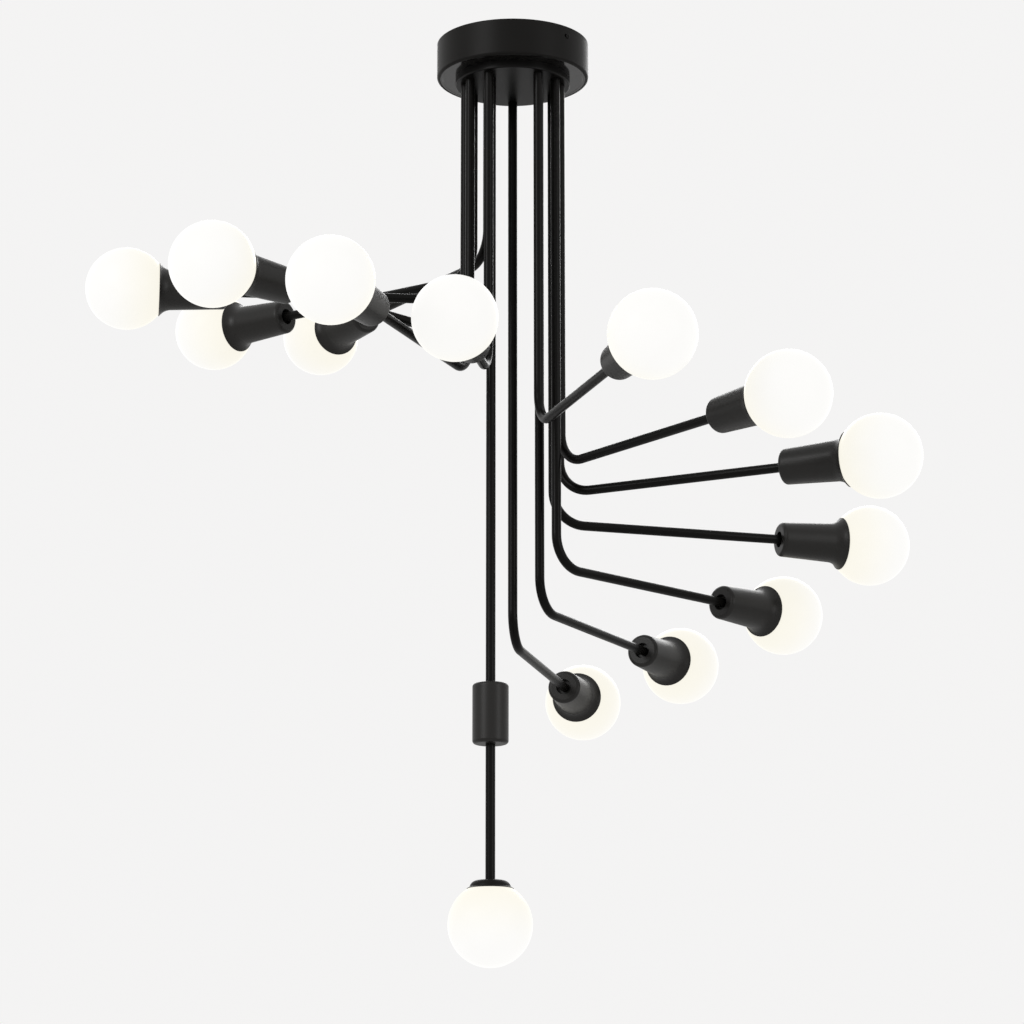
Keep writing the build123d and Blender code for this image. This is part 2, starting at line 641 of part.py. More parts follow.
# ---- threaded fastenings ---------------------------------------------------------------------
# Hollow nipples: one out of the top of every tube, one into every lampholder and the dome cap.
CUP_NIPPLE = TUBE_END + NIPPLE_GRIP - CONTACT_BACK - NIPPLE_SHORT
with BuildPart() as nipples:
    for foot in ALL_FEET:
        with BuildSketch(Plane(origin=foot + UP * (STEM_TOP - NIPPLE_GRIP))):
            Circle(NIPPLE_R)
            Circle(NIPPLE_BORE_R, mode=Mode.SUBTRACT)
        extrude(amount=NIPPLE_TOP - STEM_TOP + NIPPLE_GRIP)
    for plane in LAMP_PLANES:
        start = plane.origin + plane.x_dir * (TUBE_END + NIPPLE_GRIP)
        with BuildSketch(Plane(origin=start, z_dir=plane.x_dir * -1)):
            Circle(NIPPLE_R)
            Circle(NIPPLE_BORE_R, mode=Mode.SUBTRACT)
        extrude(amount=CUP_NIPPLE)
    with BuildSketch(Plane(origin=DROP_PLANE.origin + UP * (NECK_CEILING - HOLDER_NIPPLE_GRIP))):
        Circle(NIPPLE_R)
        Circle(NIPPLE_BORE_R, mode=Mode.SUBTRACT)
    extrude(amount=SHADE_TOP + NIPPLE_GRIP - NECK_CEILING + HOLDER_NIPPLE_GRIP)
save(nipples, "nipples")

# Hexagon lock nuts: on the plate above every stem, and inside every cup.
NUT_BORE_R = NIPPLE_R + THREAD_FIT
with BuildPart() as lock_nuts:
    for foot in ALL_FEET:
        with BuildSketch(Plane(origin=foot + UP * (PLATE_TOP + WASHER_HEIGHT))):
            RegularPolygon(NUT_FLATS / 2, 6, major_radius=False)
            Circle(NUT_BORE_R, mode=Mode.SUBTRACT)
        extrude(amount=NUT_HEIGHT)
    for plane in LAMP_PLANES:
        floor = plane.origin + plane.x_dir * (TUBE_END - CUP_FLOOR)
        with BuildSketch(Plane(origin=floor, z_dir=plane.x_dir * -1)):
            RegularPolygon(NUT_FLATS / 2, 6, major_radius=False)
            Circle(NUT_BORE_R, mode=Mode.SUBTRACT)
        extrude(amount=NUT_HEIGHT)
save(lock_nuts, "lock_nuts")

with BuildPart() as washers:
    for foot in ALL_FEET:
        with BuildSketch(Plane(origin=foot + UP * PLATE_TOP)):
            Circle(WASHER_R)
            Circle(NUT_BORE_R, mode=Mode.SUBTRACT)
        extrude(amount=WASHER_HEIGHT)
save(washers, "washers")

widest = max(hypot(plane.origin.X, plane.origin.Y) for plane in LAMP_PLANES) + GLOBE_R
print(f"reach {widest:.0f} mm from the middle, height {DROP_GLOBE_DEPTH + GLOBE_R:.0f} mm")
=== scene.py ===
# %% [markdown]
# # A spiral chandelier with lit globes
#
# The fixture hangs from a round black canopy. Thirteen bent tubes leave it, each carrying a
# turned socket cup and a white globe bulb, and one straight drop runs down the middle.
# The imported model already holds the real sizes, so this lesson is about looks: satin
# powder coat, opal glass that is switched on, rolled threads, and the light they hang in.

import json
import math

import bmesh
import bpy
from mathutils import Matrix, Vector
from mathutils.geometry import interpolate_bezier


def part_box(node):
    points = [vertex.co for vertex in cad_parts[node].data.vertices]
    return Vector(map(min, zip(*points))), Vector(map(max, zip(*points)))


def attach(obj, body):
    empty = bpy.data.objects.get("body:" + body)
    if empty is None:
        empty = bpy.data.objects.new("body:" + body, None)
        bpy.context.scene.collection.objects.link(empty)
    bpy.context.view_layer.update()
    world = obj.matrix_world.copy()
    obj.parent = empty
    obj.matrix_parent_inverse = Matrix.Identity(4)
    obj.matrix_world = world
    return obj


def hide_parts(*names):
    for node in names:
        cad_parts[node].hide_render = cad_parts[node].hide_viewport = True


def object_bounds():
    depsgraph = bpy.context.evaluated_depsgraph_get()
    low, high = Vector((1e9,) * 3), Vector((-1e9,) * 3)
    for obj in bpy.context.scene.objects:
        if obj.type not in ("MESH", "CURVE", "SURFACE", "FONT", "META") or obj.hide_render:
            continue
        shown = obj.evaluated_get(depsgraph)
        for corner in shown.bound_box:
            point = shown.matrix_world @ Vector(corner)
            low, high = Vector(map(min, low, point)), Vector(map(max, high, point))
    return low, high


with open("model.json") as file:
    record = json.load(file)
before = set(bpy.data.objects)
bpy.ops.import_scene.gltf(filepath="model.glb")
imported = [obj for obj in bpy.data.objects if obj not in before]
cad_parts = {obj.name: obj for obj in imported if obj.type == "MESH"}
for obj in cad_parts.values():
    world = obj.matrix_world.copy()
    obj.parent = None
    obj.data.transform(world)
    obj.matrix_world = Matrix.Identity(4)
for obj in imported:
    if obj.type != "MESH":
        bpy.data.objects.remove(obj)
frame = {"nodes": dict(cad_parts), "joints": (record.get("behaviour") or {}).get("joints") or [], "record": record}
cad_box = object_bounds()
nodes = frame["nodes"]
print("nodes", len(nodes), "box", [round(v, 3) for corner in cad_box for v in corner])

# %% [markdown]
# ## Where the photographer stood
#
# The shot was taken from low down, about four metres away, with a long lens tilted up at the
# canopy. A long lens keeps the near and far globes close in size. The numbers come from the
# ellipse of the canopy and from the sizes of the globes, which are all the same ball.

# %% Camera
CAMERA_AWAY = 3.918
CAMERA_DEPTH = 1.487
CAMERA_ASIDE = -0.0008
TILT_UP = math.radians(13.2)
FOCAL_PIXELS = 3500
PHOTO_PIXELS = 1024

camera_data = bpy.data.cameras.new("camera")
camera_data.sensor_width = 36
camera_data.lens = FOCAL_PIXELS * camera_data.sensor_width / PHOTO_PIXELS
camera_data.clip_end = 50
camera = bpy.data.objects.new("camera", camera_data)
camera.location = (CAMERA_ASIDE, -CAMERA_AWAY, -CAMERA_DEPTH)
camera.rotation_euler = (math.pi / 2 + TILT_UP, 0, 0)
bpy.context.scene.collection.objects.link(camera)
bpy.context.scene.camera = camera
print("lens", round(camera_data.lens, 1), "mm")

# %% [markdown]
# ## Writing shader maths as sums
#
# A material is a graph of nodes. Wiring every Math node by hand hides the idea, so a small
# class wraps an output socket and lets `+`, `-`, `*` and `/` add the Math nodes. Every other
# node comes from one method that sets the node up and plugs in its inputs.


# %% A socket that does arithmetic
class Wire:
    """An output socket; arithmetic on it adds Math nodes to its tree."""

    def __init__(self, recipe, socket):
        self.recipe = recipe
        self.socket = socket

    def _math(self, operation, first, second=0.0):
        return self.recipe.node("ShaderNodeMath", {"operation": operation}, {0: first, 1: second})

    def __add__(self, other):
        return self._math("ADD", self, other)

    def __radd__(self, other):
        return self._math("ADD", other, self)

    def __sub__(self, other):
        return self._math("SUBTRACT", self, other)

    def __rsub__(self, other):
        return self._math("SUBTRACT", other, self)

    def __mul__(self, other):
        return self._math("MULTIPLY", self, other)

    def __rmul__(self, other):
        return self._math("MULTIPLY", other, self)

    def __truediv__(self, other):
        return self._math("DIVIDE", self, other)

    def clamp(self):
        return self.recipe.node("ShaderNodeClamp", {}, {"Value": self})


# %% A recipe for one material
class Recipe:
    """One node tree with its main shader, and shorthands for the nodes that the finishes use."""

    def __init__(self, owner, shader="Principled BSDF"):
        owner.use_nodes = True
        self.owner = owner
        self.tree = owner.node_tree
        self.shader = self.tree.nodes[shader]

    def node(self, kind, settings, inputs, output=0):
        made = self.tree.nodes.new(kind)
        for key, value in settings.items():
            setattr(made, key, value)
        for key, value in inputs.items():
            self.plug(made.inputs[key], value)
        return Wire(self, made.outputs[output])

    def plug(self, socket, value):
        if isinstance(value, Wire):
            self.tree.links.new(value.socket, socket)
        else:
            socket.default_value = value

    def set(self, **inputs):
        for key, value in inputs.items():
            self.plug(self.shader.inputs[key.replace("_", " ")], value)

    def place(self):
        """Where the point lies on its piece, in metres, before any joint moves it."""
        return self.node("ShaderNodeTexCoord", {}, {}, "Object")

    def along(self, letter):
        """One coordinate of that place."""
        return self.node("ShaderNodeSeparateXYZ", {}, {"Vector": self.place()}, letter)

    def noise(self, per_metre, detail=2.0, roughness=0.5):
        inputs = {"Vector": self.place(), "Scale": per_metre, "Detail": detail}
        inputs["Roughness"] = roughness
        return self.node("ShaderNodeTexNoise", {"noise_dimensions": "3D"}, inputs, "Fac")

    def ease(self, value, low, high):
        """0 below low, 1 above high, and a smooth rise between them."""
        settings = {"interpolation_type": "SMOOTHSTEP"}
        inputs = {"Value": value, "From Min": low, "From Max": high}
        return self.node("ShaderNodeMapRange", settings, inputs)

    def mix(self, mask, first, second):
        """Colour mix: inputs 6 and 7 of the node are its two colours, output 2 the result."""
        colours = [(*c, 1) if isinstance(c, tuple) else c for c in (first, second)]
        inputs = {0: mask, 6: colours[0], 7: colours[1]}
        return self.node("ShaderNodeMix", {"data_type": "RGBA"}, inputs, 2)

    def bump(self, height, strength, depth):
        inputs = {"Strength": strength, "Distance": depth, "Height": height}
        self.set(Normal=self.node("ShaderNodeBump", {}, inputs, "Normal"))


def recipe(name):
    return Recipe(bpy.data.materials.new(name))


print("shader arithmetic ready")

# %% [markdown]
# ## Satin black powder coat
#
# The canopy, tubes and cups are steel with a baked powder coat. Up close it is not flat: the
# powder melts into a skin like fine orange peel, and handling leaves patches that are a touch
# paler and duller. It is nearly black, so its shape is read from reflections: a broad faint
# sheen down the middle of each tube and a paler one where the surface turns away. A low
# specular level keeps that sheen quiet on all but the canopy's plate. Each part's black is
# also painted paler where it catches the lamps and darker where it sits in shade.

# %% Powder coat
COAT_BLACK = (0.0030, 0.0028, 0.0026)
COAT_RUBBED = (0.0060, 0.0056, 0.0050)
PEEL_PER_METRE = 700
HANDLING_PER_METRE = 14


def powder_coat(name, painted_light, rough, sheen):
    """The colour factor scales the black: above 1 it is painted light on a part that catches the lamps, below 1
    painted shade; sheen is the gloss head-on.
    """
    black = tuple(value * painted_light for value in COAT_BLACK)
    rubbed = tuple(value * painted_light for value in COAT_RUBBED)
    coat = recipe(name)
    skin = coat.noise(PEEL_PER_METRE, detail=3.0)
    handling = coat.noise(HANDLING_PER_METRE, detail=4.0, roughness=0.6)
    coat.set(Base_Color=coat.mix(handling * 0.6 + skin * 0.25, black, rubbed))
    coat.set(Roughness=(rough + (handling - 0.5) * 0.16 + (skin - 0.5) * 0.10).clamp())
    coat.set(IOR=1.5, Specular_IOR_Level=sheen)
    coat.bump(skin, 0.22, 0.00005)
    return coat.owner


# One coat in copies: painted paler on the cups, canopy and plate for the light they catch, and darker on the stem
# boss for the painted shade under the canopy.
tube_coat = powder_coat("tube_coat", painted_light=1.0, rough=0.28, sheen=0.08)
cup_coat = powder_coat("cup_coat", painted_light=2.8, rough=0.40, sheen=0.24)
canopy_coat = powder_coat("canopy_coat", painted_light=1.6, rough=0.42, sheen=0.09)
plate_coat = powder_coat("canopy_plate_coat", painted_light=1.2, rough=0.14, sheen=0.70)
boss_coat = powder_coat("stem_boss_coat", painted_light=0.8, rough=0.34, sheen=0.12)
COATS = (tube_coat, cup_coat, canopy_coat, plate_coat, boss_coat)
print("made", [coat.name for coat in COATS])

# %% [markdown]
# ## Opal glass, switched on
#
# Each bulb is a ball of white glass with a lamp inside. The glass scatters the light until
# the whole ball glows almost evenly, and a little creamier towards the neck, where the light
# has further to go. The glow comes from an emission colour that follows the bulb's own axis,
# so it stays with the glass when a bulb is taken out.

# %% Opal glass
GLOW_WHITE = (1.0, 0.993, 0.975)
GLOW_CREAM = (1.0, 0.965, 0.850)
GLASS_WHITE = (0.15, 0.149, 0.146)
GLASS_CLOUD = (0.135, 0.134, 0.131)
GLOW = 0.862
CREAM_FROM = -0.030
CREAM_TO = 0.045
CLOUDS_PER_METRE = 45


def opal_glass(name, glow):
    glass = recipe(name)
    cloud = glass.noise(CLOUDS_PER_METRE, detail=2.0)
    neck = glass.ease(glass.along("X"), CREAM_FROM, CREAM_TO)
    glass.set(Base_Color=glass.mix(cloud, GLASS_WHITE, GLASS_CLOUD))
    cream = (neck + (cloud - 0.5) * 0.12).clamp()
    glass.set(Emission_Color=glass.mix(cream, GLOW_WHITE, GLOW_CREAM))
    glass.set(Emission_Strength=glow, Roughness=0.40, IOR=1.5, Specular_IOR_Level=0.06)
    return glass.owner


lit_glass = opal_glass("lit_opal_glass", GLOW)
print("made", lit_glass.name)

# %% [markdown]
# ## Plated metals, mouldings and clear glass
#
# The threads, brass shells and holders only show when a bulb is taken out or the canopy is
# seen from above, but they make the fitting believable there. Each metal has a faint smear
# in its colour and gloss, and each moulding a fine mottle.

# %% Metals, mouldings, clear glass
MOTTLE_PER_METRE = 220
EMBER_PER_METRE = 900


def plain_metal(name, colour, darker, rough, scale):
    metal = recipe(name)
    smear = metal.noise(scale, detail=3.0)
    metal.set(Base_Color=metal.mix(smear, colour, darker), Metallic=1.0)
    metal.set(Roughness=(rough + (smear - 0.5) * 0.16).clamp())
    metal.bump(metal.noise(scale * 12), 0.12, 0.00004)
    return metal.owner


def moulding(name, colour, darker, rough):
    resin = recipe(name)
    mottle = resin.noise(MOTTLE_PER_METRE, detail=3.0)
    resin.set(Base_Color=resin.mix(mottle, colour, darker))
    resin.set(Roughness=(rough + (mottle - 0.5) * 0.12).clamp())
    resin.bump(mottle, 0.2, 0.00005)
    return resin.owner


nickel = plain_metal("nickel_plate", (0.66, 0.63, 0.58), (0.52, 0.50, 0.46), 0.28, 160)
brass = plain_metal("brass_shell", (0.72, 0.53, 0.24), (0.56, 0.39, 0.16), 0.30, 160)
zinc = plain_metal("zinc_plate", (0.58, 0.59, 0.61), (0.46, 0.47, 0.49), 0.38, 120)
solder = plain_metal("solder_tip", (0.62, 0.61, 0.58), (0.44, 0.43, 0.41), 0.42, 300)
thermoset = moulding("black_thermoset", (0.020, 0.020, 0.022), (0.032, 0.031, 0.031), 0.46)
cap_insulator = moulding("cap_insulator", (0.012, 0.012, 0.016), (0.026, 0.024, 0.028), 0.20)
terminal_resin = moulding("terminal_resin", (0.80, 0.78, 0.73), (0.70, 0.68, 0.63), 0.42)
ceramic = moulding("unglazed_ceramic", (0.84, 0.82, 0.77), (0.76, 0.74, 0.69), 0.62)

capsule_recipe = recipe("capsule_glass")
capsule_recipe.set(Base_Color=(0.95, 0.96, 0.96, 1), Roughness=0.04)
capsule_recipe.set(IOR=1.5, Transmission_Weight=1.0)
capsule_glass = capsule_recipe.owner
filament_recipe = recipe("filament_wire")
ember = filament_recipe.noise(EMBER_PER_METRE)
filament_recipe.set(Base_Color=(0.20, 0.18, 0.16, 1), Metallic=1.0, Roughness=0.5)
filament_recipe.set(Emission_Strength=2.5)
filament_recipe.set(Emission_Color=filament_recipe.mix(ember, (1.0, 0.80, 0.50), (1.0, 0.90, 0.70)))
filament_metal = filament_recipe.owner
print("made", len(bpy.data.materials), "materials so far")

# %% [markdown]
# ## Give each node its finish
#
# The record says which slot every node belongs to, so the finishes are handed out by slot.
# The black pieces share one slot but not one gloss or one shade: the tubes stay dark, the
# cups, canopy and plate are painted paler for the light they catch, the stem boss darker for
# its shade, and the canopy's flat underside mirrors the room at a shallow angle.

# %% Hand out the finishes
FINISHES = {
    "satin_black": tube_coat,
    "opal_glass": lit_glass,
    "clear_glass": capsule_glass,
    "nickel": nickel,
    "brass": brass,
    "zinc": zinc,
    "black_screw": canopy_coat,
    "holder_plastic": thermoset,
    "terminal_plastic": terminal_resin,
    "ceramic": ceramic,
}
# Parts that take a paler copy of the coat for painted light, or the darker boss copy for painted shade.
SPECIAL_COATS = {
    "canopy_cup": canopy_coat,
    "canopy_plate": plate_coat,
    "stem_boss": boss_coat,
    "socket_cups": cup_coat,
    "stem_coupling": cup_coat,
    "dome_cap": canopy_coat,
}
slot_of = {part["node"]: part["material_slot"] for part in frame["record"]["subparts"]}
for name, node in nodes.items():
    node.data.materials.clear()
    node.data.materials.append(SPECIAL_COATS.get(name, FINISHES[slot_of[name]]))
print("finished", len(nodes), "nodes")

# %% [markdown]
# ## Where each lamp is
#
# A new piece must sit exactly where the model has its own. A bulb leaves its socket along a
# straight line, and the joint in the record gives its direction. The globe is a ball, so its
# middle is one radius inside its box on the side that it leaves towards. From both comes a
# matrix whose X runs from the middle of the ball back to the arm, and all thirteen lamps are
# then alike.

# %% Lamp places
MM = 0.001
NEARLY_UPRIGHT = 0.9
ARM_LAMPS = range(1, 14)
leaving = {joint["child"]: Vector(joint["axis"]) for joint in frame["joints"]}


def upright(origin, forward):
    """Matrix with X along a direction, Z as near to up as it can be."""
    x_axis = forward.normalized()
    level = Vector((0, 0, 1)).cross(x_axis)
    side = Vector((0, 1, 0)) if abs(x_axis.z) > NEARLY_UPRIGHT else level.normalized()
    turned_axes = Matrix((x_axis, side, x_axis.cross(side))).transposed()
    return Matrix.Translation(origin) @ turned_axes.to_4x4()


def lamp_place(number):
    low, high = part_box(f"globe_{number:02d}")
    out = leaving[f"bulb_{number:02d}"]
    ball = (high.z - low.z) / 2
    middle = [high[i] - ball if out[i] > 0 else low[i] + ball for i in (0, 1)]
    return upright(Vector((*middle, low.z + ball)), -out)


LAMPS = {number: lamp_place(number) for number in ARM_LAMPS}
ball_low, ball_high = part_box("globe_01")
BALL = (ball_high.z - ball_low.z) / 2
shade_low, shade_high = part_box("drop_globe")
DROP = upright(
    Vector(
        ((shade_low.x + shade_high.x) / 2, (shade_low.y + shade_high.y) / 2, shade_low.z + BALL)
    ),
    Vector((0, 0, 1)),
)
first_at = [round(v, 3) for v in LAMPS[1].translation]
print("ball radius", round(BALL / MM, 2), "mm, first lamp at", first_at)

# %% Measuring a node along a lamp's axis
ASIDE = 0.03
AHEAD = 0.06
BEHIND = 0.16


def span(node, place):
    """Nearest and farthest X of a node's points that lie round one lamp's axis."""
    local = place.inverted()
    points = [local @ vertex.co for vertex in nodes[node].data.vertices]
    along = [p.x for p in points if math.hypot(p.y, p.z) < ASIDE and -AHEAD < p.x < BEHIND]
    return min(along), max(along)


FIRST = LAMPS[1]
CAP_START, CAP_TIP = span("screw_cap_01", FIRST)
GLASS_END = span("globe_01", FIRST)[1]
SHELL_START, SHELL_END = span("screw_shells", FIRST)
CONTACT_END = span("centre_contacts", FIRST)[1]
HOLDER_END = span("lampholders", FIRST)[1]
cap_low, cap_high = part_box("screw_cap_01")
CAP_R = (cap_high.z - cap_low.z) / 2
print("cap", [round(v / MM, 2) for v in (CAP_START, CAP_TIP, CAP_R)], "mm")

# %% [markdown]
# ## Turned forms
#
# Bulbs, caps, shells and nuts are all turned or rolled, so one helper spins an outline round
# X. Its radius may also depend on the angle: a wave that winds as it goes is a rolled thread,
# and a six-sided limit is a nut. This gives clean rows of faces, where a modifier stack or a
# boolean would leave slivers.


# %% Spin an outline
def bands(rings, sides, closed=False):
    """Faces between neighbouring rings of points, and from the last to the first if closed."""
    faces = []
    for ring in range(rings if closed else rings - 1):
        here, there = ring * sides, (ring + 1) % rings * sides
        for k in range(sides):
            after = (k + 1) % sides
            faces.append((here + k, here + after, there + after, there + k))
    return faces


def turned(outline, sides, radius=None, closed=False):
    """Points and faces of an outline of (x, r) spun round X; radius(x, r, angle) may bend it."""
    points = []
    for x, r in outline:
        for k in range(sides):
            angle = math.tau * k / sides
            reach = radius(x, r, angle) if radius else r
            points.append(Vector((x, reach * math.cos(angle), reach * math.sin(angle))))
    return points, bands(len(outline), sides, closed)


def moved(form, place):
    points, faces = form
    return [place @ point for point in points], faces


def piece(name, forms, finish, body, stands_for=(), place=None, sharp=35):
    """One object from several forms: normals out, poles closed, edges sharper than `sharp` kept."""
    mesh = bpy.data.meshes.new(name)
    work = bmesh.new()
    for points, faces in forms:
        made = [work.verts.new(point) for point in points]
        for face in faces:
            work.faces.new([made[i] for i in face])
    bmesh.ops.remove_doubles(work, verts=work.verts, dist=0.002 * MM)
    bmesh.ops.recalc_face_normals(work, faces=work.faces)
    work.to_mesh(mesh)
    work.free()
    mesh.polygons.foreach_set("use_smooth", [True] * len(mesh.polygons))
    mesh.set_sharp_from_angle(angle=math.radians(sharp))
    mesh.materials.append(finish)
    made = bpy.data.objects.new(name, mesh)
    bpy.context.scene.collection.objects.link(made)
    if place is not None:
        made.matrix_world = place
    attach(made, body)
    if stands_for:
        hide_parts(*stands_for)
    return made


def arc(centre_x, radius, start, end, steps, centre_r=0.0):
    """Points of an outline on an arc, angles in degrees from +X."""
    angles = [math.radians(start + (end - start) * i / steps) for i in range(steps + 1)]
    return [(centre_x + radius * math.cos(a), centre_r + radius * math.sin(a)) for a in angles]


def thickened(outline, wall):
    """The outline and, back again, its copy one wall further in, as one closed loop."""
    inner = []
    for i, (x, r) in enumerate(outline):
        before, after = outline[max(i - 1, 0)], outline[min(i + 1, len(outline) - 1)]
        along = Vector((after[0] - before[0], after[1] - before[1])).normalized()
        inner.append((x + along.y * wall, max(r - along.x * wall, 0.0)))
    return outline + inner[::-1]


print("turning tools ready")

# %% [markdown]
# ## Bulb glass
#
# The glass is blown as a ball that runs into a neck without a step. A smooth curve joins the
# ball's shoulder to the neck, leaving each along its own direction. The wall is one
# millimetre, so it is closed with an inner face and shows a real edge at the neck.

# %% Bulbs
GLASS_WALL = 1.0 * MM
SHOULDER_ANGLE = 30.35
NECK_R = 12.6 * MM
SHOULDER_PULL = 8.0 * MM
NECK_PULL = 10.0 * MM
BALL_SIDES = 72
BALL_STEPS = 40
NECK_STEPS = 14


def bulb_outline():
    ball = arc(0, BALL, 180, SHOULDER_ANGLE, BALL_STEPS)
    shoulder = Vector((*ball[-1], 0))
    leave = Vector((ball[-1][1], -ball[-1][0], 0)).normalized()
    neck = Vector((CAP_START, NECK_R, 0))
    pulled = (shoulder + leave * SHOULDER_PULL, neck - Vector((NECK_PULL, 0, 0)))
    curve = interpolate_bezier(shoulder, *pulled, neck, NECK_STEPS)
    return ball + [(p.x, p.y) for p in curve[1:]] + [(GLASS_END, NECK_R)]


bulb_form = turned(thickened(bulb_outline(), GLASS_WALL), BALL_SIDES, closed=True)
for number, place in LAMPS.items():
    name, body, node = f"bulb_glass_{number:02d}", f"bulb_{number:02d}", f"globe_{number:02d}"
    piece(name, [bulb_form], lit_glass, body, [node], place)
print("blew", len(LAMPS), "bulbs of", len(bulb_form[0]), "points")

# %% [markdown]
# ## Screw caps
#
# An E27 cap is a thin plated sleeve with a rounded thread rolled into it: a smooth skirt that
# grips the glass, then nearly five turns with their run-outs, then an edge folded over a cone
# of black insulator with a soldered tip in its middle. The thread is a wave in the radius
# that moves on by one pitch for every turn and fades out at both ends.

# %% Screw caps
CAP_PITCH = 3.62 * MM
CAP_THREAD = 0.95 * MM
CAP_WALL = 0.35 * MM
SKIRT = 3.2 * MM
INSULATOR = 5.5 * MM
CAP_SIDES = 48
CAP_ROWS = 52
fold_at = CAP_TIP - INSULATOR


def wound(pitch, depth, start, end, run_out):
    """Radius rule for a round thread between two places on X, cut `depth` below the outline."""

    def radius(x, r, angle):
        fade = max(0.0, min(1.0, (x - start) / run_out, (end - x) / run_out))
        wave = 0.5 - 0.5 * math.cos(math.tau * (x / pitch - angle / math.tau))
        return r - depth * fade * wave

    return radius


def steps_between(start, end, count):
    return [start + (end - start) * i / count for i in range(count + 1)]


cap_rows = steps_between(CAP_START + SKIRT, fold_at - 0.6 * MM, CAP_ROWS)
cap_outline = [(CAP_START, CAP_R - 0.5 * MM), (CAP_START + 0.3 * MM, CAP_R - 0.05 * MM)]
cap_outline += [(CAP_START + 0.8 * MM, CAP_R)]
cap_outline += [(x, CAP_R) for x in cap_rows]
cap_outline += arc(fold_at - 0.8 * MM, 0.8 * MM, 80, 10, 4, CAP_R - 0.95 * MM)
cap_outline += [(fold_at + 0.35 * MM, CAP_R - 2.2 * MM)]
cap_thread = wound(CAP_PITCH, CAP_THREAD, CAP_START + SKIRT, fold_at - 0.4 * MM, 2.2 * MM)
cap_form = turned(thickened(cap_outline, CAP_WALL), CAP_SIDES, cap_thread, closed=True)

TIP_R = 4.5 * MM
INSULATOR_R = 7.0 * MM
tip_seat = CAP_TIP - 1.5 * MM
insulator_outline = [(fold_at - 1.0 * MM, 0), (fold_at - 1.0 * MM, CAP_R - 2.0 * MM)]
insulator_outline += [
    (fold_at + 0.1 * MM, CAP_R - 1.9 * MM),
    (fold_at + 1.2 * MM, CAP_R - 3.6 * MM),
    (tip_seat - 0.9 * MM, INSULATOR_R + 0.8 * MM),
    (tip_seat - 0.2 * MM, INSULATOR_R),
    (tip_seat, INSULATOR_R - 0.5 * MM),
    (tip_seat, 0),
]
insulator_form = turned(insulator_outline, CAP_SIDES)
tip_outline = [
    (tip_seat - 0.3 * MM, 0),
    (tip_seat - 0.3 * MM, TIP_R),
    (tip_seat + 0.35 * MM, TIP_R),
    (tip_seat + 0.65 * MM, TIP_R - 0.5 * MM),
    (tip_seat + 0.8 * MM, TIP_R - 1.6 * MM),
    (tip_seat + 1.25 * MM, TIP_R - 2.6 * MM),
    (CAP_TIP - 0.02 * MM, TIP_R - 3.6 * MM),
    (CAP_TIP, 0),
]
tip_form = turned(tip_outline, CAP_SIDES // 2)

for number, place in LAMPS.items():
    body = f"bulb_{number:02d}"
    sleeve, node = f"screw_sleeve_{number:02d}", f"screw_cap_{number:02d}"
    piece(sleeve, [cap_form], nickel, body, [node], place)
    cone = f"cap_insulator_{number:02d}"
    piece(cone, [insulator_form], cap_insulator, body, (), place)
    piece(f"cap_tip_{number:02d}", [tip_form], solder, body, (), place)
print("screw caps with", round((fold_at - CAP_START - SKIRT) / CAP_PITCH, 1), "turns")

# %% [markdown]
# ## Threaded shells
#
# Inside each holder a brass shell has the matching thread. It is pressed sheet, so the wave
# shows on both of its faces, and it stays outside the circle that the bulb's cap sweeps.

# %% Brass shells
shell_low, shell_high = CAP_R + 0.35 * MM, CAP_R + 0.80 * MM
SHEET = 0.12 * MM
SHELL_ROWS = 56
shell_rows = steps_between(SHELL_START + 1.2 * MM, SHELL_END, SHELL_ROWS)
shell_outline = [(SHELL_START, shell_high - 0.02 * MM), (SHELL_START + 0.5 * MM, shell_high)]
shell_outline += [(x, shell_high) for x in shell_rows]
shell_wave = shell_high - SHEET - shell_low
shell_thread = wound(CAP_PITCH, shell_wave, SHELL_START + 0.8 * MM, SHELL_END, 2.0 * MM)
shell_form = turned(thickened(shell_outline, SHEET), CAP_SIDES, shell_thread, closed=True)
shells = [moved(shell_form, place) for place in LAMPS.values()]
piece("threaded_shells", shells, brass, "fixture", ["screw_shells"])
print("pressed", len(shells), "shells")

# %% [markdown]
# ## Nipples and lock nuts
#
# Every tube is held by a short hollow M8 nipple and a thin hexagon nut. The thread is sharp,
# so its wave is a triangle. On the canopy's nipples it starts at the top of the plate and the
# stretch below stays smooth; on the others it runs over most of the length. A nut is a
# six-sided limit on the radius with both faces chamfered.

# %% Nipples
THREAD_PITCH = 1.0 * MM
THREAD_DEPTH = 0.5 * MM
ROWS_PER_TURN = 5
NIPPLE_R = 4.0 * MM
NIPPLE_BORE = 2.8 * MM
NIPPLE_SIDES = 24
NIPPLE_CHAMFER = 0.6 * MM
NUT_FLATS = 13.0 * MM
NUT_HEIGHT = 3.0 * MM
GRIP = 12.0 * MM
CONTACT_GAP = 1.0 * MM
PAST_NUT = 2.5 * MM
IN_PIN_HOLDER = 5.0 * MM


def cut_thread(x, r, angle):
    if r < NIPPLE_R - 0.01 * MM:
        return r
    turn = (x / THREAD_PITCH - angle / math.tau) % 1.0
    return r - THREAD_DEPTH * abs(2 * turn - 1)


def nipple_form(length, free):
    """Hollow nipple from X = 0; the thread runs from `free` to its end, which is chamfered."""
    outline = [(0, NIPPLE_BORE), (0, NIPPLE_R - THREAD_DEPTH), (free, NIPPLE_R - THREAD_DEPTH)]
    turns = (length - free) / THREAD_PITCH
    rows = steps_between(free + 0.1 * MM, length - NIPPLE_CHAMFER, int(turns * ROWS_PER_TURN))
    outline += [(x, NIPPLE_R) for x in rows]
    outline += [(length, NIPPLE_R - THREAD_DEPTH - 0.05 * MM), (length, NIPPLE_BORE)]
    return turned(outline, NIPPLE_SIDES, cut_thread, closed=True)


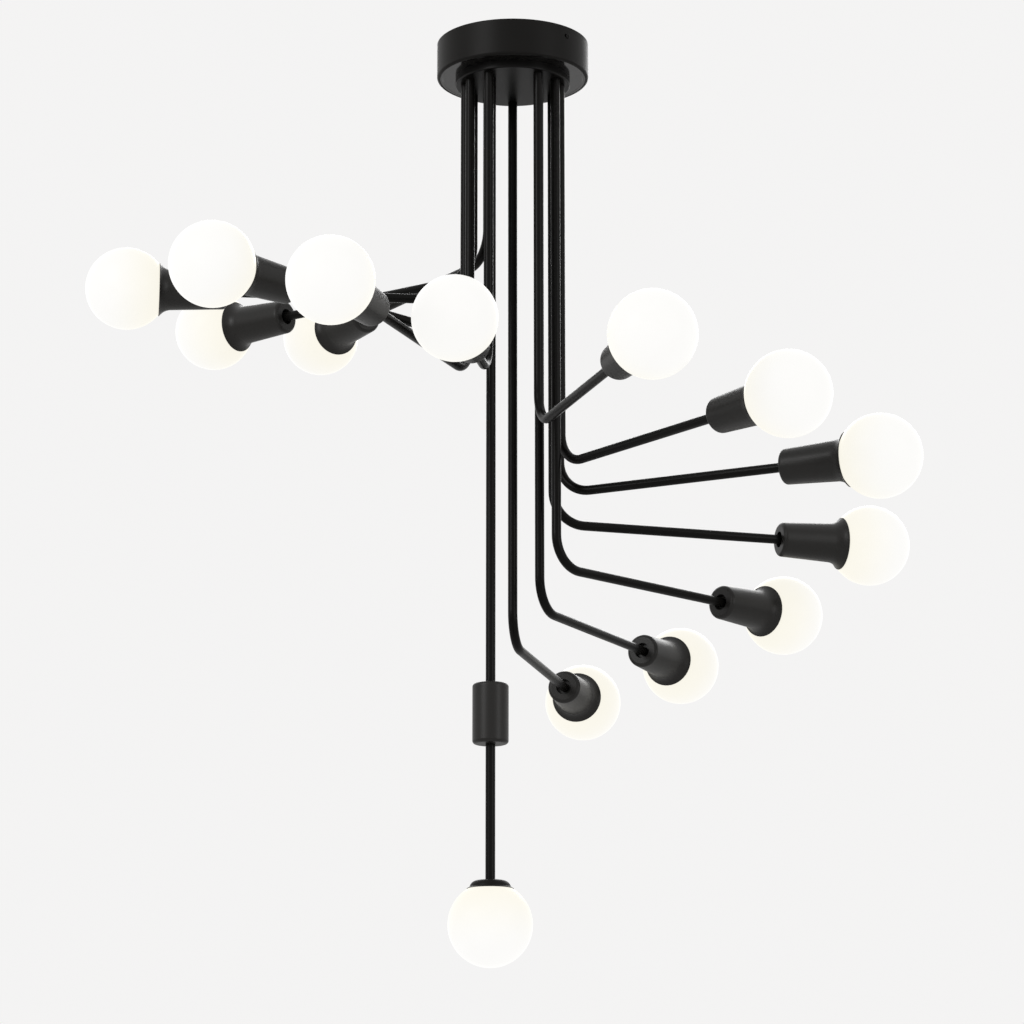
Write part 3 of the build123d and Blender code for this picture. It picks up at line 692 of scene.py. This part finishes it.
def foot(node):
    """Where a tube stands in the boss: the middle of its highest ring of points."""
    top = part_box(node)[1].z
    ring = [v.co for v in nodes[node].data.vertices if top - v.co.z < 0.5 * MM]
    return Vector((sum(p.x for p in ring) / len(ring), sum(p.y for p in ring) / len(ring), top))


STEMS = [f"arm_{number:02d}" for number in ARM_LAMPS] + ["drop_stem"]
feet = [foot(node) for node in STEMS]
nipple_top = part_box("nipples")[1].z
UP = Vector((0, 0, 1))
plate_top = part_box("washers")[0].z
standing = nipple_form(nipple_top - feet[0].z + GRIP, plate_top - feet[0].z + GRIP)
nipples = [moved(standing, upright(place - UP * GRIP, UP)) for place in feet]
socket_start = CONTACT_END + CONTACT_GAP
socket_end = HOLDER_END + NUT_HEIGHT + PAST_NUT + GRIP
lying = nipple_form(socket_end - socket_start, 0.5 * MM)
for place in LAMPS.values():
    nipples.append(moved(lying, place @ Matrix.Translation((socket_start, 0, 0))))
rod_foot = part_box("drop_rod")[0].z
holder_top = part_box("pin_holder")[1].z
hanging = nipple_form(rod_foot + GRIP - holder_top + IN_PIN_HOLDER, 4.5 * MM)
hanging_at = Vector((*DROP.translation.xy, holder_top - IN_PIN_HOLDER))
nipples.append(moved(hanging, upright(hanging_at, UP)))
piece("threaded_nipples", nipples, zinc, "fixture", ["nipples"], sharp=50)
print("cut", len(nipples), "nipples")


# %% Lock nuts
def six_sided(x, r, angle):
    flat = NUT_FLATS / 2 / math.cos((angle + math.pi / 6) % (math.pi / 3) - math.pi / 6)
    return min(r, flat) if r > NIPPLE_R + 0.2 * MM else r


NUT_CORNER = NUT_FLATS / math.sqrt(3)
NUT_CHAMFER = 0.7 * MM
NUT_SIDES = 48
nut_edge = NUT_CORNER - NUT_CHAMFER * 1.2
nut_bore = NIPPLE_R + 0.1 * MM
nut_outline = [(0, nut_bore), (0, nut_edge), (NUT_CHAMFER * 0.6, NUT_CORNER)]
nut_outline += [(NUT_HEIGHT - NUT_CHAMFER * 0.6, NUT_CORNER), (NUT_HEIGHT, nut_edge)]
nut_outline += [(NUT_HEIGHT, nut_bore)]
nut_form = turned(nut_outline, NUT_SIDES, six_sided, closed=True)
washer_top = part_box("washers")[1].z
nuts = [moved(nut_form, upright(Vector((place.x, place.y, washer_top)), UP)) for place in feet]
behind_holder = Matrix.Translation((HOLDER_END, 0, 0))
nuts += [moved(nut_form, place @ behind_holder) for place in LAMPS.values()]
piece("chamfered_nuts", nuts, zinc, "fixture", ["lock_nuts"], sharp=20)
print("made", len(nuts), "nuts")

# %% [markdown]
# ## Screws with a driver's recess
#
# The two canopy screws have a pan head with a cross, and the terminal screws a plain slot.
# A head is a disc of rings whose height is a formula: a dome, less the recess where the
# point lies in an arm of the cross or in the slot.

# %% Screw heads
HEAD_SIDES = 64
HEAD_RINGS = 18
SLOT_SLOPE = 0.25
CROSS_TAPER = 0.55


def screw_head(radius, height, crown, recess, floor_depth):
    """Head standing on X = 0; recess(y, z) tells how deep, 0 to 1, the driver's slot is there."""
    points = []
    for ring in range(HEAD_RINGS + 1):
        r = radius * ring / HEAD_RINGS
        for k in range(HEAD_SIDES):
            angle = math.tau * k / HEAD_SIDES
            y, z = r * math.cos(angle), r * math.sin(angle)
            dome = height - crown * (r / radius) ** 2
            points.append(Vector((dome - floor_depth * recess(y, z), y, z)))
    points += [Vector((0, p.y, p.z)) for p in points[-HEAD_SIDES:]]
    underside = tuple(range(len(points) - HEAD_SIDES, len(points)))
    return points, bands(HEAD_RINGS + 2, HEAD_SIDES) + [underside]


def slot_recess(half_width, half_length):
    def depth(y, z):
        across = max(0.0, min(1.0, (half_width - abs(y)) / (SLOT_SLOPE * half_width) + 0.5))
        return across if abs(z) <= half_length else 0.0

    return depth


def cross_recess(half_width, half_length):
    first = slot_recess(half_width, half_length)

    def depth(y, z):
        reach = max(0.0, 1.0 - math.hypot(y, z) / half_length * CROSS_TAPER)
        return max(first(y, z), first(z, y)) * reach

    return depth


screws = nodes["canopy_screws"].data.vertices
screw_reach = max(math.hypot(v.co.x, v.co.y) for v in screws)
tip = max((v.co for v in screws), key=lambda co: co.x)
screw_low, screw_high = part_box("canopy_screws")
SCREW_TURN = Vector((tip.x, tip.y, 0)).normalized()
SCREW_DEPTH = (screw_low.z + screw_high.z) / 2
SCREW_HEAD_R = (screw_high.z - screw_low.z) / 2
cup_low, cup_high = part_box("canopy_cup")
CANOPY_R = (cup_high.x - cup_low.x) / 2
head_height = screw_reach - CANOPY_R
print("side screws at", round(math.degrees(math.atan2(SCREW_TURN.y, SCREW_TURN.x)), 1), "degrees")

# %% Canopy screws
SHANK_R = 2.0 * MM
SHANK_PITCH = 0.7 * MM
SHANK = 8.0 * MM
SHANK_DEPTH = 0.35 * MM
SHANK_SIDES = 24
SHANK_ROWS = 56
PAN_CROWN = 0.5 * MM
CROSS_HALF_WIDTH = 0.42 * MM
CROSS_REACH = 1.9 * MM
CROSS_DEPTH = 0.75 * MM


def shank_thread(x, r, angle):
    turn = (x / SHANK_PITCH - angle / math.tau) % 1.0
    return r - SHANK_DEPTH * abs(2 * turn - 1) if r > 0 else 0


shank_outline = [(x, SHANK_R) for x in steps_between(-SHANK, 0, SHANK_ROWS)]
shank_form = turned([(-SHANK, 0)] + shank_outline + [(0, 0)], SHANK_SIDES, shank_thread)
cross_slot = cross_recess(CROSS_HALF_WIDTH, CROSS_REACH)
pan_head = screw_head(SCREW_HEAD_R, head_height, PAN_CROWN, cross_slot, CROSS_DEPTH)
screw_forms = []
for side in (SCREW_TURN, -SCREW_TURN):
    place = upright(side * CANOPY_R + UP * SCREW_DEPTH, side)
    screw_forms += [moved(pan_head, place), moved(shank_form, place)]
stands_for = ["canopy_screws"]
piece("side_screws", screw_forms, canopy_coat, "fixture", stands_for, sharp=40)
print("made 2 side screws")

# %% [markdown]
# ## Brass in the terminal block
#
# The block stays as the model has it, with its screw holes below and wire holes at the sides.
# A slotted brass screw goes into each screw hole and a brass sleeve into each wire hole. The
# block hangs under the strap, so the strap's direction gives the row of poles.

# %% Terminal brass
POLES = 3
POLE_SCREW_R = 2.0 * MM
POLE_SCREW_HEIGHT = 1.4 * MM
POLE_SCREW_SUNK = 1.6 * MM
POLE_SCREW_CROWN = 0.25 * MM
SLOT_HALF_WIDTH = 0.32 * MM
SLOT_HALF_LENGTH = 3 * MM
SLOT_DEPTH = 0.7 * MM
SLEEVE_R = 1.7 * MM
SLEEVE_WALL = 0.3 * MM
SLEEVE_DEPTH = 5.6 * MM
SLEEVE_INSET = 1 * MM
SLEEVE_FROM_MIDDLE = 0.6 * MM
SLEEVE_SIDES = 24
block_low, block_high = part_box("terminal_block")
across = SCREW_TURN.cross(UP)
block_points = [v.co for v in nodes["terminal_block"].data.vertices]
block_length = 2 * max(p.dot(SCREW_TURN) for p in block_points)
block_width = 2 * max(p.dot(across) for p in block_points)
pitch = block_length / POLES
straight_slot = slot_recess(SLOT_HALF_WIDTH, SLOT_HALF_LENGTH)
slot_head = screw_head(
    POLE_SCREW_R, POLE_SCREW_HEIGHT, POLE_SCREW_CROWN, straight_slot, SLOT_DEPTH
)
screw_foot = block_low.z + POLE_SCREW_SUNK + POLE_SCREW_HEIGHT
sleeve_bore, sleeve_end = SLEEVE_R - SLEEVE_WALL, block_width / 2 - SLEEVE_INSET
sleeve_outline = [(0.2 * MM, sleeve_bore), (0.2 * MM, SLEEVE_R - 0.1 * MM), (0.4 * MM, SLEEVE_R)]
sleeve_outline += [(sleeve_end, SLEEVE_R), (sleeve_end, sleeve_bore)]
sleeve_form = turned(sleeve_outline, SLEEVE_SIDES, closed=True)
pole_forms = []
for pole in range(POLES):
    along = SCREW_TURN * (pitch * (pole - (POLES - 1) / 2))
    for side in (across, -across):
        screw_at = along + side * (block_width / 4) + UP * screw_foot
        pole_forms.append(moved(slot_head, upright(screw_at, -UP)))
        sleeve_at = along + side * SLEEVE_FROM_MIDDLE + UP * (block_high.z - SLEEVE_DEPTH)
        pole_forms.append(moved(sleeve_form, upright(sleeve_at, side)))
piece("terminal_brass", pole_forms, brass, "fixture", sharp=40)
print("block", round(block_length / MM, 1), "by", round(block_width / MM, 1), "mm")

# %% [markdown]
# ## The drop's shade and capsule lamp
#
# The glass at the bottom is a shade with an open neck, lit by a small capsule lamp on two
# pins. The capsule is a clear tube, closed by pinching it flat while it is soft: its radius
# becomes an oval that gets thinner towards the pins. A coiled filament hangs between two
# support wires inside it.

# %% Shade
SHADE_WALL = 2.0 * MM
SHADE_NECK_R = 17.0 * MM
SHADE_STEPS = 44
NECK_BLEND = 1.5
neck_root = math.sqrt(BALL**2 - SHADE_NECK_R**2)
neck_top = shade_high.z - DROP.translation.z
neck_angle = math.degrees(math.asin(SHADE_NECK_R / BALL))
shade_outline = arc(0, BALL, 180, neck_angle + NECK_BLEND, SHADE_STEPS)
shade_outline += [
    (neck_root + 0.8 * MM, SHADE_NECK_R + 0.15 * MM),
    (neck_root + 1.8 * MM, SHADE_NECK_R),
    (neck_top - 0.8 * MM, SHADE_NECK_R),
    (neck_top - 0.2 * MM, SHADE_NECK_R - 0.3 * MM),
    (neck_top, SHADE_NECK_R - 1.0 * MM),
    (neck_top - 0.2 * MM, SHADE_NECK_R - 1.7 * MM),
    (neck_top - 0.8 * MM, SHADE_NECK_R - SHADE_WALL),
]
bore_root = math.sqrt((BALL - SHADE_WALL) ** 2 - (SHADE_NECK_R - SHADE_WALL) ** 2)
inner_angle = math.degrees(math.atan2(SHADE_NECK_R - SHADE_WALL, bore_root))
shade_outline += arc(0, BALL - SHADE_WALL, inner_angle, 180, BALL_STEPS)
shade_form = turned(shade_outline, BALL_SIDES)
piece("drop_shade_glass", [shade_form], lit_glass, "drop_shade", ["drop_globe"], DROP)
print("shade neck", round(neck_top / MM, 1), "mm above its middle")

# %% Capsule lamp
capsule_low, capsule_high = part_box("capsule_lamp")
CAPSULE_R = (capsule_high.x - capsule_low.x) / 2
PIN_R = 0.6 * MM
PIN_SPACING = 9.0 * MM
PIN_LENGTH = 6.0 * MM
PINCH = 9.0 * MM
PINCH_RUN = 4 * MM
PINCH_NARROWER = 0.06
PINCH_THINNER = 0.70
NIB = 1.6 * MM
SIDE_FROM_TIP = 12 * MM
CAPSULE_WALL = 0.9 * MM
CAPSULE_SIDES = 40
CAPSULE_ROWS = 20
DOME_STEPS = 10
tip_x = capsule_low.z - DROP.translation.z
pins_x = capsule_high.z - DROP.translation.z
seal_x = pins_x - PIN_LENGTH


def pinched(x, r, angle):
    """Round below the pinch, and a flat oval above it."""
    flat = max(0.0, min(1.0, (x - (seal_x - PINCH - PINCH_RUN)) / PINCH_RUN))
    flat = flat * flat * (3 - 2 * flat)
    wide, thin = r * (1 - PINCH_NARROWER * flat), r * (1 - PINCH_THINNER * flat)
    return 1 / math.hypot(math.cos(angle) / wide, math.sin(angle) / thin) if r > 0 else 0


capsule_outline = [(tip_x, 0), (tip_x + 0.1 * MM, 0.7 * MM), (tip_x + 1.4 * MM, 1.1 * MM)]
dome_x = tip_x + NIB + CAPSULE_R
capsule_rows = steps_between(tip_x + SIDE_FROM_TIP, seal_x, CAPSULE_ROWS)
capsule_outline += arc(dome_x, CAPSULE_R, 170, 90, DOME_STEPS)
capsule_outline += [(x, CAPSULE_R) for x in capsule_rows] + [(seal_x, 0)]
cavity_outline = arc(dome_x, CAPSULE_R - CAPSULE_WALL, 180, 90, DOME_STEPS)
cavity_outline += [
    (seal_x - PINCH - 5 * MM, CAPSULE_R - CAPSULE_WALL),
    (seal_x - PINCH - 2 * MM, CAPSULE_R * 0.45),
    (seal_x - PINCH - 1.2 * MM, 0),
]
capsule_forms = [turned(capsule_outline, CAPSULE_SIDES, pinched)]
capsule_forms.append(turned(cavity_outline, CAPSULE_SIDES))
lamp_node = ["capsule_lamp"]
piece(
    "capsule_envelope", capsule_forms, capsule_glass, "drop_lamp", lamp_node, DROP
)


def bent_wire(points, radius, sides=10):
    """Round wire along a list of points, with its ends closed."""
    made = []
    for i, point in enumerate(points):
        ahead = (points[min(i + 1, len(points) - 1)] - points[max(i - 1, 0)]).normalized()
        side = ahead.cross(Vector((0.3, 0.1, 1.0))).normalized()
        over = ahead.cross(side)
        for k in range(sides):
            angle = math.tau * k / sides
            made.append(point + (side * math.cos(angle) + over * math.sin(angle)) * radius)
    ends = [tuple(range(sides)), tuple(range(len(made) - sides, len(made)))]
    return made, bands(len(points), sides) + ends


FILAMENT_R = 1.3 * MM
FILAMENT_TURNS = 14
COIL_STEPS = 16
COIL_NEAR = 10 * MM
COIL_FAR = 21 * MM
FILAMENT_WIRE_R = 0.14 * MM
FILAMENT_WIRE_SIDES = 6
SUPPORT_R = 0.25 * MM
SUPPORT_ASIDE = 3.2 * MM
SUPPORT_IN_SEAL = 6 * MM
PIN_IN_SEAL = 7 * MM
PIN_SIDES = 20
coil_low, coil_high = tip_x + COIL_NEAR, tip_x + COIL_FAR
coil = []
for i in range(FILAMENT_TURNS * COIL_STEPS + 1):
    share = i / (FILAMENT_TURNS * COIL_STEPS)
    angle = math.tau * FILAMENT_TURNS * share
    x = coil_low + (coil_high - coil_low) * share
    coil.append(Vector((x, FILAMENT_R * math.cos(angle), FILAMENT_R * math.sin(angle))))
coil_form = bent_wire(coil, FILAMENT_WIRE_R, FILAMENT_WIRE_SIDES)
piece("filament_coil", [coil_form], filament_metal, "drop_lamp", (), DROP)

stand = PIN_SPACING / 2
long_support = [
    Vector((seal_x - SUPPORT_IN_SEAL, -stand, 0)),
    Vector((coil_high + 3 * MM, -SUPPORT_ASIDE, 0)),
    Vector((coil_low + 1 * MM, -SUPPORT_ASIDE, 0)),
    Vector((coil_low, FILAMENT_R * 0.2, 0)),
]
short_support = [
    Vector((seal_x - SUPPORT_IN_SEAL, stand, 0)),
    Vector((coil_high + 2 * MM, 2.0 * MM, 0)),
    Vector((coil_high, FILAMENT_R, 0)),
]
pin_root = seal_x - PIN_IN_SEAL
pin_outline = [(pin_root, 0), (pin_root, PIN_R), (pins_x - 0.4 * MM, PIN_R)]
pin_outline += [(pins_x, PIN_R * 0.5), (pins_x, 0)]
pin_form = turned(pin_outline, PIN_SIDES)
pin_forms = [moved(pin_form, Matrix.Translation((0, side * stand, 0))) for side in (-1, 1)]
pin_forms += [bent_wire(long_support, SUPPORT_R), bent_wire(short_support, SUPPORT_R)]
piece("capsule_pins", pin_forms, zinc, "drop_lamp", (), DROP)
capsule_length = round((seal_x - tip_x) / MM, 1)
print("capsule", capsule_length, "mm long on pins", round(PIN_SPACING / MM, 1), "mm apart")

# %% [markdown]
# ## The studio
#
# A pale floor lies under the fixture, and the room is a soft even white. The background that
# the camera, a mirror or a lens sees is one plain colour. The light that falls on matt
# surfaces is set apart from it and dimmer, so the picture can be pale without the black
# parts going grey.

# %% Floor
FLOOR_GAP = 0.70
FLOOR_SIZE = 14
PAPER_PER_METRE = 3
PAPER_WHITE = (0.88, 0.875, 0.87)
PAPER_SHADE = (0.86, 0.855, 0.85)


def paper_floor():
    height = cad_box[0].z - FLOOR_GAP
    signs = ((-1, -1), (1, -1), (1, 1), (-1, 1))
    corners = [(x * FLOOR_SIZE, y * FLOOR_SIZE, height) for x, y in signs]
    mesh = bpy.data.meshes.new("floor")
    mesh.from_pydata(corners, [], [(0, 1, 2, 3)])
    floor = bpy.data.objects.new("floor", mesh)
    bpy.context.scene.collection.objects.link(floor)
    paper = recipe("floor_paper")
    fibres = paper.noise(PAPER_PER_METRE)
    paper.set(Base_Color=paper.mix(fibres, PAPER_WHITE, PAPER_SHADE), Roughness=0.9)
    mesh.materials.append(paper.owner)


paper_floor()
print("floor at", round(cad_box[0].z - FLOOR_GAP, 3))

# %% Room
BACKGROUND = (0.905, 0.900, 0.897)
ROOM_LIGHT = (0.84, 0.84, 0.84)
ROOM_STRENGTH = 0.60
SEEN_RAYS = ("Is Camera Ray", "Is Glossy Ray", "Is Transmission Ray")


def room():
    world = bpy.data.worlds.new("room")
    bpy.context.scene.world = world
    sky = Recipe(world, "Background")
    sky.set(Color=(*ROOM_LIGHT, 1), Strength=ROOM_STRENGTH)
    seen = sky.node("ShaderNodeBackground", {}, {"Color": (*BACKGROUND, 1), "Strength": 1.0})
    rays = [sky.node("ShaderNodeLightPath", {}, {}, kind) for kind in SEEN_RAYS]
    seen_by = (rays[0] + rays[1] + rays[2]).clamp()
    lit = Wire(sky, sky.shader.outputs[0])
    both = sky.node("ShaderNodeMixShader", {}, {"Fac": seen_by, 1: lit, 2: seen})
    sky.plug(sky.tree.nodes["World Output"].inputs["Surface"], both)


room()
print("room strength", ROOM_STRENGTH)

# %% Lamps
MIDDLE = (0, 0, -0.55)


def softbox(name, place, size, watts):
    data = bpy.data.lights.new(name, "AREA")
    data.shape = "RECTANGLE"
    data.size, data.size_y = size
    data.energy = watts
    lamp = bpy.data.objects.new(name, data)
    lamp.location = place
    lamp.rotation_euler = (Vector(MIDDLE) - Vector(place)).to_track_quat("-Z", "Y").to_euler()
    bpy.context.scene.collection.objects.link(lamp)


softbox("key", place=(-2.4, -2.4, 0.7), size=(1.4, 1.8), watts=46)
softbox("fill", place=(2.6, -2.0, -0.1), size=(1.2, 2.2), watts=20)
softbox("back", place=(0.4, 2.8, 0.9), size=(2.4, 1.2), watts=30)
print("three softboxes")

# %% [markdown]
# ## Finish
#
# The view transform is Standard, so a colour renders as it is written.

# %% Finish
bpy.context.scene.view_settings.view_transform = "Standard"
